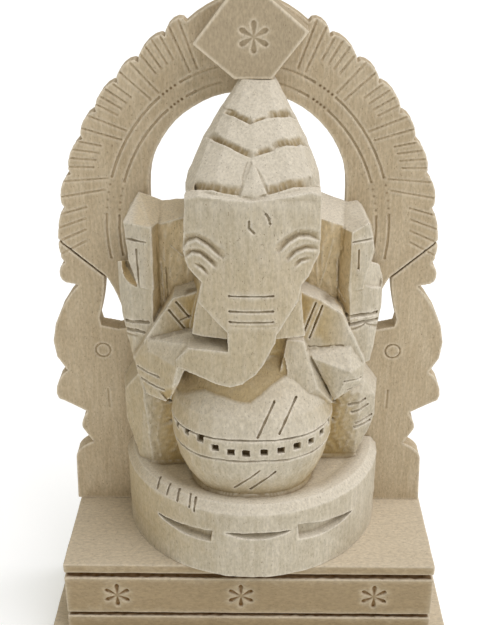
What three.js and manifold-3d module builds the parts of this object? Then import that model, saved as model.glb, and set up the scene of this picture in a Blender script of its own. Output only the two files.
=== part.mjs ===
// A seated elephant-headed figure carved from one half-round block of pale wood, before a lobed arch board.
// Origin under the middle of the lower board, +Z up, the figure faces -Y. Millimetres.

import * as THREE from "three";
import { ConvexGeometry } from "three/addons/geometries/ConvexGeometry.js";
import { mergeVertices } from "three/addons/utils/BufferGeometryUtils.js";
import Module from "manifold-3d";

const wasm = await Module();
wasm.setup();

// Driving dimensions.
const footWidth = 156;
const footDepth = 59;
const footHeight = 9;
const baseWidth = 142;
const baseDepth = 51;
const baseHeight = 33;
const archThickness = 7.5;
const blankRadius = 50.3;
const seatHeight = 31.3;
const crestThickness = 12;
const glueGap = 0.2;

// A length that takes any cutter clear of the wood.
const clear = 60;

// Where the pieces stand. Inside each piece, depth is counted forwards from the front face of the arch
// board, and height upwards from the top of the base block.
const baseTop = footHeight + baseHeight;
const boardFront = footDepth / 2 - archThickness;
const archShift = -0.8;
const figureShift = 1;

const paleWood = new THREE.MeshStandardMaterial({ color: 0xcdc2ae, roughness: 0.75, metalness: 0 });
const boardWood = new THREE.MeshStandardMaterial({ color: 0xb9a785, roughness: 0.8, metalness: 0 });
const baseWood = new THREE.MeshStandardMaterial({ color: 0xbba888, roughness: 0.8, metalness: 0 });

function solid(geometry) {
  geometry.deleteAttribute("normal");
  geometry.deleteAttribute("uv");
  const merged = mergeVertices(geometry, 1e-4);
  return new wasm.Manifold(
    new wasm.Mesh({
      numProp: 3,
      vertProperties: new Float32Array(merged.attributes.position.array),
      triVerts: new Uint32Array(merged.index.array),
    }),
  );
}

function meshOf(body, name, material, x = 0, y = 0, z = 0) {
  const { vertProperties, triVerts } = body.getMesh();
  const geometry = new THREE.BufferGeometry();
  geometry.setAttribute("position", new THREE.BufferAttribute(new Float32Array(vertProperties), 3));
  geometry.setIndex(new THREE.BufferAttribute(new Uint32Array(triVerts), 1));
  geometry.computeVertexNormals();
  const mesh = new THREE.Mesh(geometry, material);
  mesh.name = name;
  mesh.position.set(x, y, z);
  return mesh;
}

const at = (x, depth, height) => new THREE.Vector3(x, -depth, height);
const join = (bodies) => bodies.reduce((sum, body) => sum.add(body));
const cutAll = (body, cuts) => cuts.reduce((left, cut) => left.subtract(cut), body);
const outline = (corners) => new THREE.Shape(corners.map(([x, height]) => new THREE.Vector2(x, height)));

// The flat-sided block that encloses a few corners, as knife facets leave it.
const facets = (corners) => solid(new ConvexGeometry(corners.map((corner) => at(...corner))));

function box(left, right, near, far, low, high) {
  const geometry = new THREE.BoxGeometry(right - left, far - near, high - low);
  geometry.translate((left + right) / 2, -(near + far) / 2, (low + high) / 2);
  return solid(geometry);
}

// An outline seen from the front, sawn through from one depth to another.
function slab(shape, near, far, curveSegments = 10) {
  const settings = { depth: far - near, bevelEnabled: false, curveSegments };
  const geometry = new THREE.ExtrudeGeometry(shape, settings);
  geometry.translate(0, 0, near);
  geometry.rotateX(Math.PI / 2);
  return solid(geometry);
}

// The round front of the carving block, or a smaller round inside it. It can narrow towards its top.
function drum(radius, low, high, sides = 72, topRadius = radius) {
  const geometry = new THREE.CylinderGeometry(topRadius, radius, high - low, sides);
  geometry.rotateX(Math.PI / 2);
  geometry.translate(0, 0, (low + high) / 2);
  return solid(geometry);
}

// How far a cutter stands out of the surface that it cuts.
const cutLift = 0.6;

// One knife cut with a V section, shallow at both ends.
function knifeCut(from, to, width, depth) {
  const inward = new THREE.Vector3(0, 1, 0);
  const along = to.clone().sub(from).normalize();
  const side = new THREE.Vector3().crossVectors(along, inward).normalize();
  const halfWidth = (width / 2) * (1 + cutLift / depth);
  const corners = [];
  for (const [end, step] of [
    [from, depth],
    [to, -depth],
  ]) {
    const top = end.clone().addScaledVector(inward, -cutLift);
    corners.push(top.clone().addScaledVector(side, halfWidth));
    corners.push(top.clone().addScaledVector(side, -halfWidth));
    corners.push(end.clone().addScaledVector(along, step).addScaledVector(inward, depth));
  }
  return solid(new ConvexGeometry(corners));
}

// The outline of a stripe of even width along a line of flat points.
function stripe(points, width) {
  const rim = (offset) =>
    points.map((point, i) => {
      const next = points[Math.min(i + 1, points.length - 1)];
      const along = next.clone().sub(points[Math.max(i - 1, 0)]).normalize();
      return new THREE.Vector2(-along.y, along.x).multiplyScalar(offset).add(point);
    });
  return new THREE.Shape([...rim(width / 2), ...rim(-width / 2).reverse()]);
}

// Grooves along lines of [x, height] points, scored from the front into the skin of a body.
function scores(body, lines, [width, depth], far = clear) {
  const core = body.translate([0, depth, 0]);
  return lines.map((line) => {
    const points = line.map(([x, height]) => new THREE.Vector2(x, height));
    return slab(stripe(points, width), 0, far).subtract(core);
  });
}

// A groove of even depth along a line of points on the surface. It is cut square to a plane that leans
// back by lean degrees, and the core is the smaller body that it reaches down to.
const grooveReach = 8;
function groove(line, width, core, lean = 0) {
  const tilt = THREE.MathUtils.degToRad(lean);
  const flat = line.map(([x, depth, height]) =>
    new THREE.Vector2(x, height * Math.cos(tilt) - depth * Math.sin(tilt)));
  const [, depth, height] = line[Math.floor(line.length / 2)];
  const middle = depth * Math.cos(tilt) + height * Math.sin(tilt);
  const cutter = slab(stripe(flat, width), middle - grooveReach, middle + grooveReach);
  return cutter.rotate([-lean, 0, 0]).subtract(core);
}

// A cut along a line of points, with a steep wall under the line and a slope that rises to the surface
// above it, as where one scale lies under the next. Inward gives the way into the wood at each point.
function scaleCut(points, inward, [slope, depth]) {
  const last = points.length - 1;
  const sections = points.map((point, i) => {
    const along = points[Math.min(i + 1, last)].clone().sub(points[Math.max(i - 1, 0)]).normalize();
    const above = new THREE.Vector3().crossVectors(along, inward(point)).normalize();
    const into = i === 0 || i === last ? depth / 3 : depth;
    const lip = point.clone().addScaledVector(inward(point), -cutLift);
    const top = lip.clone().addScaledVector(above, slope * (1 + cutLift / depth));
    return [lip, top, point.clone().addScaledVector(inward(point), into)];
  });
  return sections.slice(1).map((section, i) => solid(new ConvexGeometry([...sections[i], ...section])));
}

// Six teardrop dents round a centre, punched with one small gouge.
const flowerPetals = 6;
const petalStart = 1;
const petalEnd = 5.4;
const petalWidth = 2.2;
const petalDepth = 0.9;
function flowerStamp(x, depth, height) {
  const petals = [];
  for (let i = 0; i < flowerPetals; i += 1) {
    const angle = Math.PI / 2 + (i * 2 * Math.PI) / flowerPetals;
    const reach = (radius, spread, into) =>
      [x + radius * Math.cos(angle + spread), depth - into, height + radius * Math.sin(angle + spread)];
    const shoulder = petalEnd - petalWidth / 2;
    const spread = petalWidth / 2 / shoulder;
    petals.push(
      facets([
        reach(petalStart, 0, -cutLift),
        reach(shoulder, spread, -cutLift),
        reach(petalEnd, 0, -cutLift),
        reach(shoulder, -spread, -cutLift),
        reach(shoulder, 0, petalDepth),
      ]),
    );
  }
  return petals;
}

// Lower board and base block, joined face to face. Two saw grooves run round the front and sides of the
// block.
const lipHeight = 4;
const upperGroove = 2.4;
const bandHeight = 16.9;
const lowerGroove = 1.8;
const grooveDepth = 2.6;
const flowerPlaces = [-51, -3, 48.5];

function baseBlock() {
  const front = baseDepth - archThickness;
  const half = baseWidth / 2;
  const lowest = -baseHeight + glueGap;
  let block = box(-half, half, -archThickness, front, lowest, 0);
  const core = half - grooveDepth;
  const sawGroove = (high, low) =>
    box(-half - 1, half + 1, -archThickness - 1, front + 1, low, high).subtract(
      box(-core, core, -archThickness - 2, front - grooveDepth, low - 1, high + 1),
    );
  const bandTop = -lipHeight - upperGroove;
  const bandBottom = bandTop - bandHeight;
  block = cutAll(block, [sawGroove(-lipHeight, bandTop), sawGroove(bandBottom, bandBottom - lowerGroove)]);
  const bandMiddle = (bandTop + bandBottom) / 2;
  return cutAll(block, flowerPlaces.flatMap((x) => flowerStamp(x, front, bandMiddle)));
}

// Arch board: lobes follow an ellipse, and below them stands a bird with its head turned inwards on each
// side.
const lobeCentre = 110;
const lobeHalfWidth = 69.3;
const lobeRise = 86;
const lobeSwell = 1.048;
const notchReach = 0.99;
const topReach = 0.04;
const archTop = 204.5;
const topSpan = 17;
const firstLobe = 6.5;
const smallLobe = 8;
const bigLobe = 9.7;
const lastSmallLobe = 9;
const lastLobe = 14.7;
const lobeAngles = [
  topSpan, firstLobe, bigLobe, smallLobe, bigLobe, smallLobe, bigLobe, lastSmallLobe, lastLobe,
];
const openingRadius = 36;
const openingCentre = 135.5;
const openingFloor = 112;
const sawKerf = 0.9;
const rayWidth = 1;
const rayDepth = 0.6;

function onEllipse(angle, halfWidth, rise, centre) {
  const turn = THREE.MathUtils.degToRad(angle);
  return new THREE.Vector2(halfWidth * Math.sin(turn), centre + rise * Math.cos(turn));
}

// The lobes next to the top stand a little further out than the others.
function onLobes(angle, swell) {
  const towardSide = THREE.MathUtils.smoothstep(Math.abs(angle), 15, 33);
  const spread = swell * (notchReach + topReach * (1 - towardSide));
  return onEllipse(angle, lobeHalfWidth * spread, lobeRise * spread, lobeCentre);
}

function notchAngles() {
  const notches = [];
  lobeAngles.reduce((angle, span) => {
    notches.push(angle + span);
    return angle + span;
  }, 0);
  return notches;
}

function archEdge() {
  const notches = notchAngles();
  const edge = new THREE.Path();
  edge.moveTo(0, archTop);
  const start = onLobes(notches[0], 1);
  edge.bezierCurveTo(7, archTop - 1, 14, archTop - 4, start.x, start.y);
  for (let i = 1; i < notches.length; i += 1) {
    const inset = (notches[i] - notches[i - 1]) * 0.08;
    const near = onLobes(notches[i - 1] + inset, lobeSwell);
    const far = onLobes(notches[i] - inset, lobeSwell);
    const end = onLobes(notches[i], 1);
    edge.bezierCurveTo(near.x, near.y, far.x, far.y, end.x, end.y);
  }
  // Comb of the bird, its round back, its tail fin, a smaller fin, and the foot that stands on the base.
  edge.bezierCurveTo(71, 106, 72.4, 100, 69, 98.6);
  edge.lineTo(64, 97.6);
  edge.bezierCurveTo(71, 91, 82, 72, 71, 60.5);
  edge.bezierCurveTo(75.5, 59, 79, 47, 73.5, 47);
  edge.lineTo(64.5, 42);
  edge.quadraticCurveTo(68.5, 35.5, 66.5, 33.5);
  edge.lineTo(63, 27.6);
  edge.quadraticCurveTo(70.5, 24.5, 70.6, 20);
  edge.lineTo(71.2, glueGap);
  return edge.getPoints(6);
}

function archShape() {
  const right = archEdge();
  const left = right.slice(1).reverse().map((point) => new THREE.Vector2(-point.x, point.y));
  const shape = new THREE.Shape([...right, ...left]);
  const opening = new THREE.Path();
  opening.moveTo(openingRadius, openingFloor);
  opening.lineTo(openingRadius, openingCentre);
  opening.absarc(0, openingCentre, openingRadius, 0, Math.PI, false);
  opening.lineTo(-openingRadius, openingFloor);
  shape.holes.push(opening);
  return shape;
}

// Behind each arm a hole frees the bird's head, and a saw slit leads to it from the edge of the board.
function birdHole(side) {
  const hole = new THREE.Shape();
  hole.moveTo(side * 54.2, 102.3);
  hole.quadraticCurveTo(side * 54.6, 93, side * 57.3, 83.5);
  hole.lineTo(side * 56.6, 80.4);
  hole.lineTo(side * 50, 79);
  hole.lineTo(side * 46, 79.5);
  hole.quadraticCurveTo(side * 49, 95, side * 54.2, 102.3);
  return hole;
}

function sawSlit(side) {
  const inner = new THREE.Vector2(side * 53.8, 101);
  const outer = new THREE.Vector2(side * 74, 118.8);
  const across = outer.clone().sub(inner).normalize().rotateAround(new THREE.Vector2(), Math.PI / 2);
  const half = across.multiplyScalar(sawKerf / 2);
  return new THREE.Shape([
    inner.clone().sub(half),
    outer.clone().sub(half),
    outer.clone().add(half),
    inner.clone().add(half),
  ]);
}

const arcLines = [
  { halfWidth: 52, rise: 61 },
  { halfWidth: 47.3, rise: 55.5 },
];
const arcCentre = 120;
const arcStretches = [
  [22, 27],
  [36, 71],
  [84, 101],
];
const dotStretches = [
  [29, 34.5],
  [73.5, 82],
];
const dotsInRow = 4;
const dotSize = 1.1;

function arcGroove(line, from, to, side) {
  const steps = Math.max(3, Math.round((to - from) / 5));
  const rim = (grow) =>
    Array.from({ length: steps + 1 }, (_, i) => {
      const angle = from + ((to - from) * i) / steps;
      return onEllipse(side * angle, line.halfWidth + grow, line.rise + grow, arcCentre);
    });
  const corners = [...rim(rayWidth / 2), ...rim(-rayWidth / 2).reverse()];
  return slab(new THREE.Shape(corners), -rayDepth, cutLift);
}

function dot(x, height) {
  const half = dotSize / 2;
  return facets([
    [x - half, cutLift, height],
    [x + half, cutLift, height],
    [x, cutLift, height - half],
    [x, cutLift, height + half],
    [x, -rayDepth - 0.3, height],
  ]);
}

function ray(angle, from, to) {
  const outer = onLobes(angle, 1.03);
  const inner = onEllipse(angle, arcLines[0].halfWidth, arcLines[0].rise, arcCentre);
  const ends = [from, to].map((share) => outer.clone().lerp(inner, share));
  return knifeCut(at(ends[0].x, 0, ends[0].y), at(ends[1].x, 0, ends[1].y), rayWidth, rayDepth);
}

// Four short rays on each big lobe, and two long ones on each small lobe.
function rays(side) {
  const notches = notchAngles();
  const cuts = [];
  for (let i = 1; i < notches.length; i += 1) {
    const isSmall = i % 2 === 1;
    const count = isSmall ? 2 : 4;
    const span = notches[i] - notches[i - 1];
    for (let k = 0; k < count; k += 1) {
      const angle = side * (notches[i - 1] + (span * (k + 0.6)) / (count + 0.2));
      cuts.push(ray(angle, -0.04, isSmall ? 0.95 : 0.6));
    }
  }
  return cuts;
}

function eyeRing(side) {
  const ring = new THREE.Shape();
  ring.absarc(side * 56.5, 69.8, 3.3, 0, 2 * Math.PI, false);
  const middle = new THREE.Path();
  middle.absarc(side * 56.5, 69.8, 2.5, 0, 2 * Math.PI, true);
  ring.holes.push(middle);
  return slab(ring, -rayDepth, cutLift, 8);
}

function archBoard() {
  let board = slab(archShape(), -archThickness, 0, 14);
  for (const side of [-1, 1]) {
    board = cutAll(board, [slab(birdHole(side), -archThickness - 1, 1, 6)]);
    board = cutAll(board, [slab(sawSlit(side), -archThickness - 1, 1)]);
    board = cutAll(board, rays(side));
    for (const line of arcLines) {
      board = cutAll(board, arcStretches.map(([from, to]) => arcGroove(line, from, to, side)));
      for (const [from, to] of dotStretches) {
        for (let i = 0; i < dotsInRow; i += 1) {
          const angle = side * (from + ((to - from) * i) / (dotsInRow - 1));
          const place = onEllipse(angle, line.halfWidth, line.rise, arcCentre);
          board = board.subtract(dot(place.x, place.y));
        }
      }
    }
    board = board.subtract(eyeRing(side));
    board = board.subtract(knifeCut(at(side * 55.6, 0, 53), at(side * 55.4, 0, 43.6), rayWidth, rayDepth));
  }
  return board;
}

// Crest: a diamond with a punched flower, turned a little, its lower corner cut flat over the tip of the
// crown.
const crestHalfWidth = 19.2;
const crestHalfHeight = 19.8;
const crestTurn = 6;
const crestCentreX = 0.4;
const crestCentre = 191.6;
const crestFlat = 178.2;

function crestDiamond() {
  const middle = new THREE.Vector2(crestCentreX, crestCentre);
  const corners = [
    [crestHalfWidth, 0],
    [0, crestHalfHeight],
    [-crestHalfWidth, 0],
    [0, -crestHalfHeight],
  ].map(([x, height]) =>
    new THREE.Vector2(x, height).add(middle).rotateAround(middle, THREE.MathUtils.degToRad(crestTurn)),
  );
  const block = slab(new THREE.Shape(corners), glueGap, crestThickness);
  const below = box(-30, 30, -1, crestThickness + 1, crestFlat - 20, crestFlat);
  return cutAll(block.subtract(below), flowerStamp(crestCentreX + 1, crestThickness, crestCentre + 0.3));
}

// Figure, carved from one half-round block. Its x is counted from its own middle.
const crownTip = 178;
const foreheadTop = 148.5;
const faceRadius = 49.8;
const tuskRadius = 46.8;
const earDepth = 19.5;
const torsoDepth = 13;

const rimDrop = 3;
const rimSet = 2.6;
function seat(inset = 0) {
  const rimLow = seatHeight - rimDrop;
  const round = join([
    drum(blankRadius - inset, glueGap, rimLow),
    drum(blankRadius - inset, rimLow, seatHeight - inset, 72, blankRadius - rimSet - inset),
  ]);
  return round.intersect(box(-clear, clear, glueGap, clear, -1, seatHeight + 1));
}

// Five short strokes over the rim at the viewer's left.
const strokeWidth = 0.8;
const strokeDepth = 1;
const rimLean = 45;
function rimStrokes() {
  const core = seat(strokeDepth);
  const strokes = [
    [[-34.5, 30, 31.3], [-35.5, 35.6, 29.5]],
    [[-30.3, 33.9, 31.3], [-31.7, 39, 29.3]],
    [[-26.7, 37.4, 31.3], [-27.6, 42, 28.3]],
    [[-22.4, 40.6, 31.3], [-22.9, 44.7, 27.6]],
    [[-20.4, 42.6, 31.3], [-21.1, 45.7, 26.5]],
  ];
  return strokes.map((line) => groove(line, strokeWidth, core, rimLean));
}

// Three crescent pockets cut a few millimetres into the round front of the seat.
const pocketDepth = 3.2;
function seatPockets() {
  const left = new THREE.Shape();
  left.moveTo(-36.5, 18.6);
  left.lineTo(-14.3, 19.8);
  left.lineTo(-14.9, 14.8);
  left.quadraticCurveTo(-27, 14, -36.5, 18.6);
  const middle = new THREE.Shape();
  middle.moveTo(-11.5, 20.2);
  middle.lineTo(16.2, 20.6);
  middle.quadraticCurveTo(3, 14.6, -11.5, 20.2);
  const right = new THREE.Shape();
  right.moveTo(17, 22.4);
  right.lineTo(17.8, 15.4);
  right.quadraticCurveTo(31, 13.2, 39.2, 18);
  right.lineTo(17, 22.4);
  const core = drum(blankRadius - pocketDepth, 0, seatHeight, 36);
  return [left, middle, right].map((shape) => slab(shape, bellyAxis, clear, 6).subtract(core));
}

// One level of the pot belly, seen from above: round at the front, with slightly squared sides.
const bellyAxis = 17.5;
const bellyCorners = 16;
const squareness = 0.8;
function bellyLevel(height, halfWidth, front, grow = 0) {
  const ring = [];
  for (let i = 0; i <= bellyCorners; i += 1) {
    const angle = (Math.PI * i) / bellyCorners;
    const x = Math.cos(angle);
    const reach = Math.sin(angle) ** squareness;
    ring.push([(halfWidth + grow) * Math.sign(x) * Math.abs(x) ** squareness,
      bellyAxis + (front - bellyAxis + grow) * reach, height]);
  }
  ring.push([-halfWidth - grow, 2, height], [halfWidth + grow, 2, height]);
  return ring;
}

const beltLow = 49.6;
const beltHigh = 58.4;
const bellyWide = 30.4;
const bellyFront = 47.8;
const bellyLowWide = 30;
const bellyLowFront = 47.4;

// The inset makes the smaller belly that the cuts reach down to.
function belly(inset = 0) {
  return facets([
    ...bellyLevel(seatHeight - 1, 22.6, 40.8, -inset),
    ...bellyLevel(36, 25.8, 43.4, -inset),
    ...bellyLevel(42, 28.2, 45.6, -inset),
    ...bellyLevel(beltLow, bellyLowWide, bellyLowFront, -inset),
    ...bellyLevel(beltHigh, bellyWide, bellyFront, -inset),
    ...bellyLevel(66, 29.2, 45.2, -inset),
    ...bellyLevel(76 - inset, 24.5, 38.5, -inset),
    ...bellyLevel(86 - inset, 17, 30, -inset),
  ]);
}

// Two lines round the belly, and between them an uneven row of square holes, given as [x, height].
const beltLine = 0.7;
const beltHoles = [
  [-26.4, 57.2], [-22.6, 57.5], [-17.9, 56.9], [-13, 54.6], [-7.5, 53.4], [-1.9, 53],
  [4.8, 53.5], [10.8, 54], [16.2, 54.5], [20.9, 54.7], [24.8, 55.9], [28, 57.2],
];
const holeSize = 2.8;
const holeDepth = 3;
const holeRound = 31.2;

// The holes point at the axis of the belly, from half of holeRound to one and a half times it.
function beltCuts() {
  const line = (height, halfWidth, front) => {
    const ring = (rise, grow) => bellyLevel(height + rise, halfWidth, front, grow);
    const half = beltLine / 2;
    const outside = facets([...ring(-half, 2), ...ring(half, 2)]);
    return outside.subtract(facets([...ring(-1, -beltLine), ...ring(1, -beltLine)]));
  };
  const core = facets([
    ...bellyLevel(beltLow - 2, bellyLowWide, bellyLowFront, -holeDepth),
    ...bellyLevel(beltHigh + 2, bellyWide, bellyFront, -holeDepth),
  ]);
  const holes = beltHoles.map(([x, height]) => {
    const hole = new THREE.BoxGeometry(holeSize, holeRound, holeSize);
    hole.translate(0, -holeRound, 0);
    hole.rotateZ(Math.asin(x / holeRound));
    hole.translate(0, -bellyAxis, height);
    return solid(hole);
  });
  return [
    line(beltLow, bellyLowWide, bellyLowFront),
    line(beltHigh, bellyWide, bellyFront),
    join(holes).subtract(core),
  ];
}

// Two slanting strokes above the belt and two below it.
const bellyLean = 35;
function bellyStrokes() {
  const core = belly(strokeDepth);
  return [
    groove([[8.3, 41.2, 71.4], [2.1, 47.4, 59.3]], strokeWidth, core, bellyLean),
    groove([[16, 38.4, 71.6], [9.8, 45.9, 60.2]], strokeWidth, core, bellyLean),
    groove([[3.2, 45.8, 45.2], [-6.4, 41.7, 35]], strokeWidth, core),
    groove([[8.9, 45.2, 44.4], [-0.6, 41.8, 34.4]], strokeWidth, core),
  ];
}

// Body behind the belly, and the squared block that carries the ears and the shoulders.
function torso() {
  const back = glueGap;
  return [
    box(-36, 36, back, torsoDepth, seatHeight - 1, 100),
    facets([
      [-36, back, 131.4], [-22, back, 132.2], [22, back, 136], [36, back, 130.6],
      [-36, earDepth, 128.2], [-24, earDepth, 131.8], [23, earDepth, 132], [36, earDepth, 127.3],
      [-36, back, 80], [36, back, 80], [-36, earDepth, 80], [36, earDepth, 80],
    ]),
    facets([
      [-20, 10, 118], [17, 10, 118], [-18, 31, 112], [16, 31, 112],
      [-22, 31, 96], [14, 30, 90], [-24, 10, 70], [22, 10, 70], [-20, 32, 72], [12, 31, 72],
    ]),
    facets([
      [12.4, 33.6, 91.6], [18.2, 33, 90.6], [9.5, 35.6, 75.4], [23.6, 35.6, 73], [29.6, 30, 64],
      [13, 10, 91], [20, 10, 91], [30, 10, 64], [9, 10, 66], [9, 36, 66],
    ]),
  ];
}

// Hand raised to the shoulder on each side: the fingers above, and the forearm below with the thumb beside
// them.
function raisedArms() {
  const back = glueGap;
  const leftFingers = facets([
    [-33, back, 131.6], [-34, 4, 131.8], [-41, 3.5, 135.8], [-44.8, back, 129.5], [-46, back, 118],
    [-33, back, 108], [-34.6, 26, 130.3], [-44.6, 21.4, 130.8], [-44, 22.4, 126], [-43.2, 23.4, 117.5],
    [-40, 25, 107.6], [-34.6, 26, 107], [-32.8, earDepth, 130], [-32.8, earDepth, 108],
  ]);
  const leftForearm = facets([
    [-33, back, 110], [-50, back, 106.5], [-49.2, back, 100], [-48, back, 88], [-46, back, 76],
    [-36, back, 74], [-34.8, 26, 112], [-43.4, 22.6, 116.6], [-48.1, 16.3, 114.1], [-48.3, 15.8, 103],
    [-47, 19.2, 94], [-45, 21, 88], [-43.2, 23, 78], [-36, 26, 76], [-32.8, earDepth, 110],
    [-33.4, earDepth, 90],
  ]);
  const rightFingers = facets([
    [31, back, 130.5], [35.4, back, 131.4], [38, back, 131.9], [39.8, back, 130.4], [44, back, 122],
    [45.5, back, 112], [31, earDepth, 128.4], [34.4, 26, 128.8], [40.2, 23.4, 131.6], [42, 22.4, 126],
    [42.6, 22, 121.5], [41.4, 22.8, 115.6], [39.4, 24.2, 107], [34.2, 26, 107], [31, earDepth, 107],
  ]);
  const rightForearm = facets([
    [33, back, 110], [47, back, 107], [48.8, back, 102], [48, back, 88], [46, back, 76], [36, back, 74],
    [34.2, 26, 112], [42.6, 21.6, 116], [45.2, 19.4, 114], [46.5, 17.6, 109.8], [47.1, 16.5, 105],
    [46.6, 18.4, 97], [45, 21, 88], [43.2, 23, 78], [36, 26, 76], [31, earDepth, 110],
    [31.6, earDepth, 90],
  ]);
  return [leftFingers, leftForearm, rightFingers, rightForearm];
}

// Between fingers and thumb the wood is scooped out, deeper at the viewer's left.
function thumbHollows() {
  return [
    facets([
      [-47.4, 28, 119.5], [-47.1, 28, 114], [-46.2, 28, 109.4], [-44.6, 28, 107.5], [-40.2, 28, 107],
      [-42.3, 28, 113.9], [-43.7, 28, 119.5], [-46.6, 11.6, 119.5], [-43.9, 15.6, 119.5],
      [-45.8, 12.8, 111], [-42.7, 17, 111.4], [-40.5, 22, 107.2],
    ]),
    facets([
      [41.6, 17.6, 118], [41.6, 28, 118], [39.5, 23.6, 108.2], [39.5, 28, 108.2], [46.2, 17.4, 105.2],
      [46.2, 28, 105.2], [48.5, 10, 118], [48.5, 28, 118],
    ]),
  ];
}

// Upper arms, slanting down from the cheeks, cut flat on their fronts.
const sleeveDepth = 30;
function upperArms() {
  const left = [[-38.4, 89], [-27.6, 105.6], [-19, 108.6], [-16, 108], [-16, 84], [-38.4, 80]];
  const right = [[16, 109], [24.3, 105.2], [32, 99.8], [41, 80.3], [35, 76], [16, 76]];
  const cover = drum(blankRadius, 60, 120);
  return [left, right].map((shape) => slab(outline(shape), glueGap, sleeveDepth).intersect(cover));
}

// The hand at the viewer's left holds the tip of the trunk, the other one lies open on the knee.
function frontHands() {
  const holding = facets([
    [-37.4, 30, 89.8], [-21, 33, 94.6], [-19, 43.5, 93.8], [-36.4, 33, 86.6], [-43, 26, 80.3],
    [-41, 28.6, 74.6], [-37.8, 33, 69], [-30.8, 38.5, 69.1], [-28.6, 40.3, 71], [-25.6, 43, 85.3],
    [-38, 10, 88], [-44, 10, 80], [-41, 10, 72], [-24, 10, 74], [-20, 10, 92],
  ]);
  const open = facets([
    [20.3, 30, 85.8], [35.2, 30, 87.5], [40.8, 29.2, 80.2], [35, 36, 80], [21.6, 33.6, 84.2],
    [39.9, 30.2, 72.5], [31, 32.4, 67.8], [30.1, 30.6, 65.6],
    [20, 8, 84], [41, 8, 78], [40, 8, 70], [29, 8, 64.5],
  ]);
  return [holding, open];
}

// Folded legs beside the belly, each cut off flat at the front.
function legs() {
  const cover = drum(blankRadius, 20, 90);
  const low = seatHeight - 1;
  const left = facets([
    [-44, glueGap, 70], [-50.6, glueGap, 59], [-50.2, glueGap, 46], [-45.5, glueGap, low],
    [-26, glueGap, low], [-26, glueGap, 74], [-42.8, 18, 69], [-48.7, 12.6, 60], [-49, 11.4, 51],
    [-48.6, 11.4, 45], [-47.2, 12, 40], [-43.4, 16.4, low], [-38.5, 19.6, low], [-26, 18.4, low],
    [-40.4, 21, 62], [-41, 20, 66], [-26, 19.5, 72],
  ]);
  const right = facets([
    [41.5, glueGap, 69.5], [49, glueGap, 58], [48.8, glueGap, 46], [42, glueGap, low],
    [26, glueGap, low], [26, glueGap, 72], [42.2, 18, 67], [46.8, 15, 59], [47.4, 12.5, 49],
    [44.8, 12.5, 40.6], [40, 13.6, low], [26, 13.8, low], [26, 19, 70], [34.6, 20.8, 63], [41, 20.6, 63],
  ]);
  return [left, right].map((body) => body.intersect(cover));
}

// One level of the crown, seen from above: a ridge in the middle and a facet on each side of it.
function crownLevel(height, halfWidth, front, middle, halfBack) {
  return [
    [middle, front, height],
    [middle - 0.58 * halfWidth, front - 0.06 * halfWidth, height],
    [middle + 0.58 * halfWidth, front - 0.06 * halfWidth, height],
    [middle - 0.88 * halfWidth, front - 0.3 * halfWidth, height],
    [middle + 0.88 * halfWidth, front - 0.3 * halfWidth, height],
    [middle - halfWidth, front - 0.7 * halfWidth, height],
    [middle + halfWidth, front - 0.7 * halfWidth, height],
    [middle - halfBack, glueGap, height],
    [middle + halfBack, glueGap, height],
  ];
}

// The inset makes the smaller crown that the cuts reach down to.
function crown(inset = 0) {
  const level = (height, halfWidth, front, middle, halfBack) =>
    crownLevel(height, halfWidth - inset, front - inset, middle, halfBack - inset);
  return facets([
    ...level(crownTip, 6.1, 13.6, 1.9, 4.6),
    ...level(169.5, 11.8, 24, 1.2, 9),
    ...level(161.5, 17, 33.6, 0.9, 13.6),
    ...level(152.5, 21.2, 43.4, 0.6, 18),
    ...level(foreheadTop, 22.2, 47.2, 0.3, 20),
    ...level(120, 22.2, 44, 0, 22.2),
  ]);
}

// Leaf below the second chevron, standing a little proud of the crown.
function crownLeaf() {
  return facets([
    [0.3, 38.4, 157.6], [-3.4, 46.8, foreheadTop + 0.6], [4.8, 46.8, foreheadTop + 1.2],
    [0.9, 48.2, foreheadTop + 0.4], [0.3, 34, 152], [-3, 40, foreheadTop - 2], [4.8, 40, foreheadTop - 2],
  ]);
}

function head() {
  const face = outline([
    [-21.4, foreheadTop - 1], [-17, foreheadTop + 0.6], [0, foreheadTop], [19, foreheadTop + 1.6],
    [22.4, foreheadTop], [22.3, 129], [20.6, 125.4], [18.6, 121], [16.5, 118.4], [15.6, 113], [8.6, 101.3],
    [-7.7, 101.6], [-17.8, 112], [-16.3, 119.2], [-20.9, 124], [-22.3, 129],
  ]);
  const muzzle = outline([[16.4, 119], [17, 108], [18.2, 98], [-20.3, 98], [-18.6, 108.6], [-16.2, 119]]);
  return [
    slab(face, torsoDepth, clear).intersect(drum(faceRadius, 95, 155)),
    slab(muzzle, torsoDepth, clear).intersect(drum(tuskRadius, 90, 125)),
  ];
}

const trunkRadius = 50;
const trunkBack = 32;
function trunk() {
  const shape = outline([
    [8.6, 104], [8, 98], [4.5, 90.8], [1.7, 86.5], [-3.1, 82.6], [-7.2, 81.2], [-11.7, 81.9], [-18.9, 84.2],
    [-26.2, 85.6], [-26.2, 88], [-21.5, 94], [-8, 95.2], [-7.7, 104],
  ]);
  return slab(shape, trunkBack, clear).intersect(drum(trunkRadius, 75, 110));
}

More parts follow.
